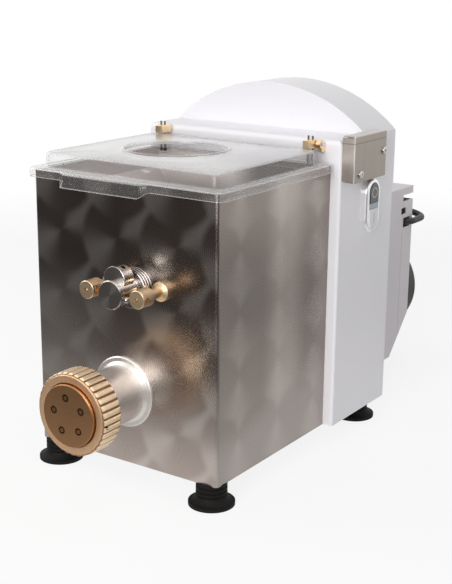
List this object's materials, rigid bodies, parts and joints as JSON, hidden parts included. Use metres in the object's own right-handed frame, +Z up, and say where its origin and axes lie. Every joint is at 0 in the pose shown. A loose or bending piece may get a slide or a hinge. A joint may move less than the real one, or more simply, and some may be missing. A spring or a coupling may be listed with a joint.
{
  "type": "electric pasta maker",
  "caption": "Table-top electric pasta maker: steel tub with kneader and auger, clear hinged lid, front die with ring nut, white arched casing and rear motor housing.",
  "frame": {"origin": "middle of the bounding box's footprint, on the table under the feet", "axes": "+X to the right as seen from the die end, +Y from the die end to the motor end, +Z up"},
  "size_m": [0.262, 0.61, 0.3804],
  "materials": {
    "mirror_stainless": "stainless sheet with round brushed swirls on the front",
    "trough_stainless": "satin stainless",
    "white_enamel": "gloss white enamel",
    "pale_enamel": "semi-gloss pale grey enamel",
    "zinc_plate": "zinc-plated steel",
    "black_rubber": "matt black rubber",
    "clear_plastic": "clear moulded polycarbonate",
    "bronze": "machined bronze, semi-bright",
    "nut_bronze": "machined bronze with bright flutes",
    "die_bronze": "machined bronze, darker",
    "cast_aluminium": "matt cast aluminium",
    "chrome_steel": "polished steel",
    "steel_screws": "plain steel",
    "cover_stainless": "brushed stainless sheet",
    "gear_steel": "hobbed steel, oiled",
    "shaft_steel": "ground steel",
    "gearbox_casting": "cast aluminium",
    "bearing_steel": "polished bearing steel",
    "motor_casting": "painted aluminium casting",
    "laminations": "laminated steel with copper ends",
    "fan_plastic": "black moulded plastic",
    "cowl_paint": "black painted sheet",
    "bezel_silver": "silver plastic",
    "button_black": "black button with a pale ring mark",
    "button_white": "white button with a line mark",
    "lens_blue_grey": "translucent lens",
    "switch_plastic": "black switch plastic",
    "can_plastic": "pale grey plastic can",
    "cable_rubber": "black cable sheath"
  },
  "bodies": {
    "housing": {"tub_shell": "mirror_stainless", "mixing_trough": "trough_stainless", "shaft_seals": "black_rubber", "base_plate": "zinc_plate", "feet": "black_rubber", "foot_bolts": "steel_screws", "casing_body": "white_enamel", "casing_rear_panel": "white_enamel", "gearbox_housing": "gearbox_casting", "bearing_web": "gearbox_casting", "gearbox_cover": "gearbox_casting", "gearbox_bolts": "steel_screws", "shaft_bearings": "bearing_steel", "extruder_barrel": "cast_aluminium", "pivot_collar": "chrome_steel", "cutter_posts": "bronze", "hinge_brackets": "bronze", "interlock_switch": "switch_plastic", "switch_cover": "cover_stainless", "switch_cover_screws": "bearing_steel", "button_bezel": "bezel_silver", "pilot_lens": "lens_blue_grey", "contact_block": "switch_plastic", "motor_frame": "motor_casting", "motor_shields": "motor_casting", "motor_bolts": "steel_screws", "stator_core": "laminations", "fan_cowl": "cowl_paint", "motor_housing": "pale_enamel", "motor_housing_rear": "pale_enamel", "terminal_box": "switch_plastic", "capacitor": "can_plastic", "power_cable": "cable_rubber", "cable_grommets": "black_rubber"},
    "lid": {"lid": "clear_plastic", "hinge_blocks": "bronze", "hinge_screws": "steel_screws", "hinge_pins": "shaft_steel"},
    "agitator": {"kneader_arms": "trough_stainless", "kneader_drive_shaft": "shaft_steel", "kneader_gear": "gear_steel"},
    "auger": {"auger_screw": "trough_stainless", "auger_drive_shaft": "shaft_steel", "auger_gear": "gear_steel"},
    "layshaft": {"layshaft": "gear_steel", "layshaft_gear": "gear_steel"},
    "rotor": {"rotor_core": "laminations", "motor_shaft": "shaft_steel", "motor_pinion": "gear_steel", "fan": "fan_plastic"},
    "die": {"die_plate": "die_bronze", "die_inserts": "die_bronze"},
    "ring_nut": {"ring_nut": "nut_bronze"},
    "pivot": {"pivot_pin": "chrome_steel", "pivot_screw": "chrome_steel"},
    "stop_button": {"stop_button": "button_black"},
    "start_button": {"start_button": "button_white"}
  },
  "joints": [
    {"name": "rotor_spin", "type": "hinge", "parent": "housing", "child": "rotor", "pos_m": [-0.0081, 0.138, 0.0979], "axis": [0, 1, 0], "continuous": true},
    {"name": "layshaft_spin", "type": "hinge", "parent": "housing", "child": "layshaft", "pos_m": [-0.0441, 0.018, 0.16025], "axis": [0, 1, 0], "continuous": true},
    {"name": "auger_spin", "type": "hinge", "parent": "housing", "child": "auger", "pos_m": [-0.0081, -0.122, 0.0979], "axis": [0, 1, 0], "continuous": true},
    {"name": "kneader_spin", "type": "hinge", "parent": "housing", "child": "agitator", "pos_m": [0.0104, -0.122, 0.20836], "axis": [0, 1, 0], "continuous": true},
    {"name": "lid_hinge", "type": "hinge", "parent": "housing", "child": "lid", "pos_m": [-0.0081, -0.0288, 0.3286], "axis": [-1, 0, 0], "range_deg": [0, 100]},
    {"name": "die_slide", "type": "slide", "parent": "housing", "child": "die", "axis": [0, -1, 0], "range_m": [0, 0.016]},
    {"name": "ring_nut_turn", "type": "hinge", "parent": "die", "child": "ring_nut", "pos_m": [-0.0081, -0.288, 0.0979], "axis": [0, -1, 0], "range_deg": [0, 1440]},
    {"name": "pivot_pin_slide", "type": "slide", "parent": "housing", "child": "pivot", "axis": [0, -1, 0], "range_m": [0, 0.05]},
    {"name": "stop_button_push", "type": "slide", "parent": "housing", "child": "stop_button", "axis": [-1, 0, 0], "range_m": [0, 0.003], "stiffness_N_per_m": 600, "springref_m": -0.002},
    {"name": "start_button_push", "type": "slide", "parent": "housing", "child": "start_button", "axis": [-1, 0, 0], "range_m": [0, 0.003], "stiffness_N_per_m": 600, "springref_m": -0.002}
  ],
  "couplings": [
    {"joint": "layshaft_spin", "follows": "rotor_spin", "ratio": -0.17073},
    {"joint": "auger_spin", "follows": "rotor_spin", "ratio": 0.041211},
    {"joint": "kneader_spin", "follows": "rotor_spin", "ratio": -0.044264},
    {"joint": "die_slide", "follows": "ring_nut_turn", "m_per_rad": 0.00063662}
  ]
}
